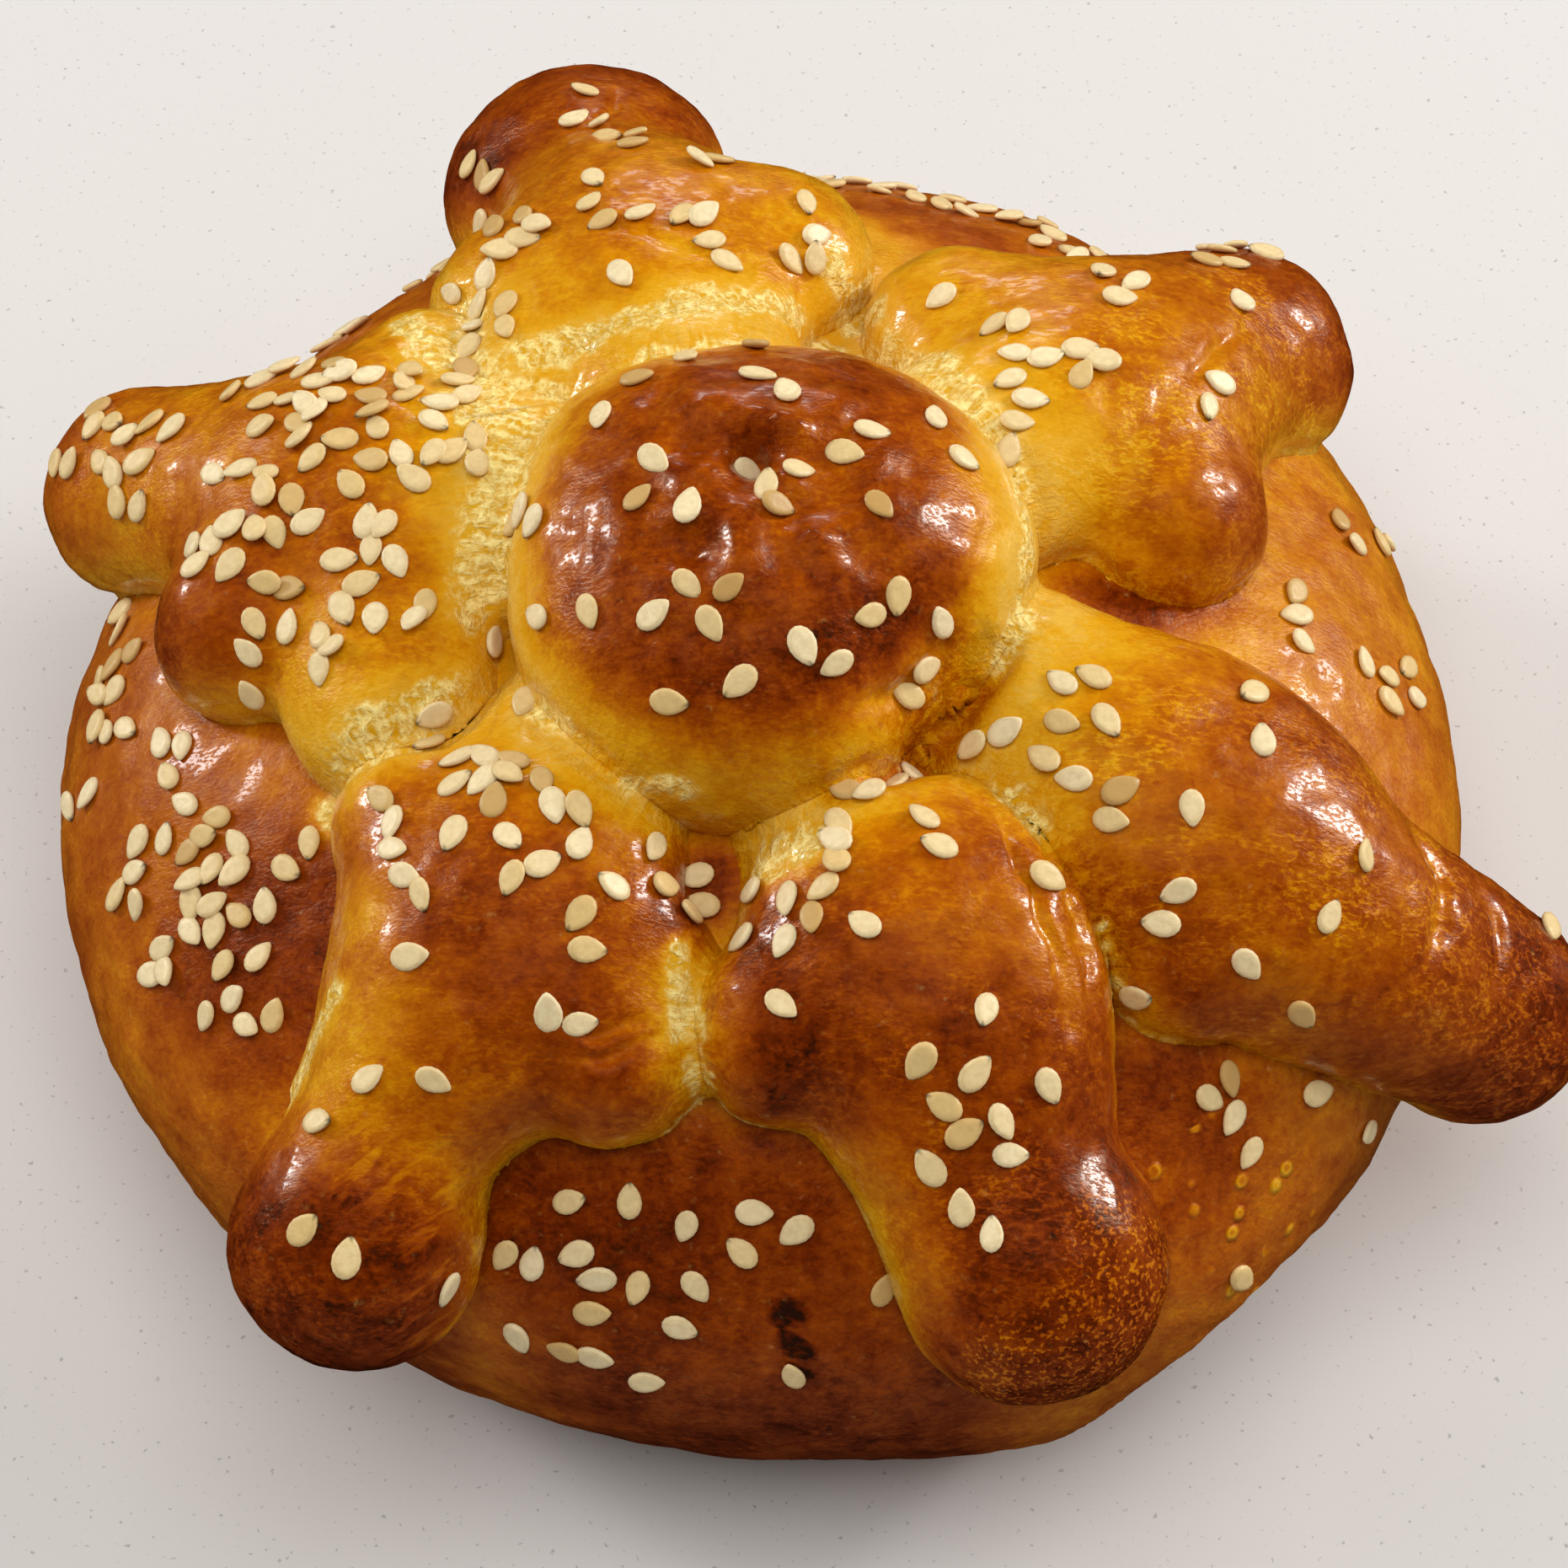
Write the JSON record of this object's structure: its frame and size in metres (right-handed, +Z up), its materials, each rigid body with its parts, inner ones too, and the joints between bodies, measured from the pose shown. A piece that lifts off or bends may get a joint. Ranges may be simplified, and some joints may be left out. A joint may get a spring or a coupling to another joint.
{
  "type": "sesame butter bun",
  "caption": "Round glossy bun with bone-shaped strips of dough crossed over a domed loaf, a round knob on top and sesame seeds scattered over the browned crust.",
  "frame": {"origin": "middle of the loaf's flat underside, on the table", "axes": "+Z up through the loaf and the knob; the picture looks along +Y with +X to its right"},
  "size_m": [0.1204, 0.121, 0.0679],
  "materials": {
    "loaf_crust": "egg-washed orange-brown bread crust, paler and duller towards the base",
    "strip_crust": "egg-washed crust, golden yellow at seams and necks, red-brown on raised ends",
    "knob_crust": "egg-washed dark red-brown crust with a yellow rim",
    "sesame_seed": "ivory hulled sesame seed, satin"
  },
  "bodies": {
    "root": {"loaf": "loaf_crust", "strip_lower": "strip_crust", "strip_middle": "strip_crust", "strip_upper": "strip_crust", "knob": "knob_crust"}
  },
  "joints": []
}
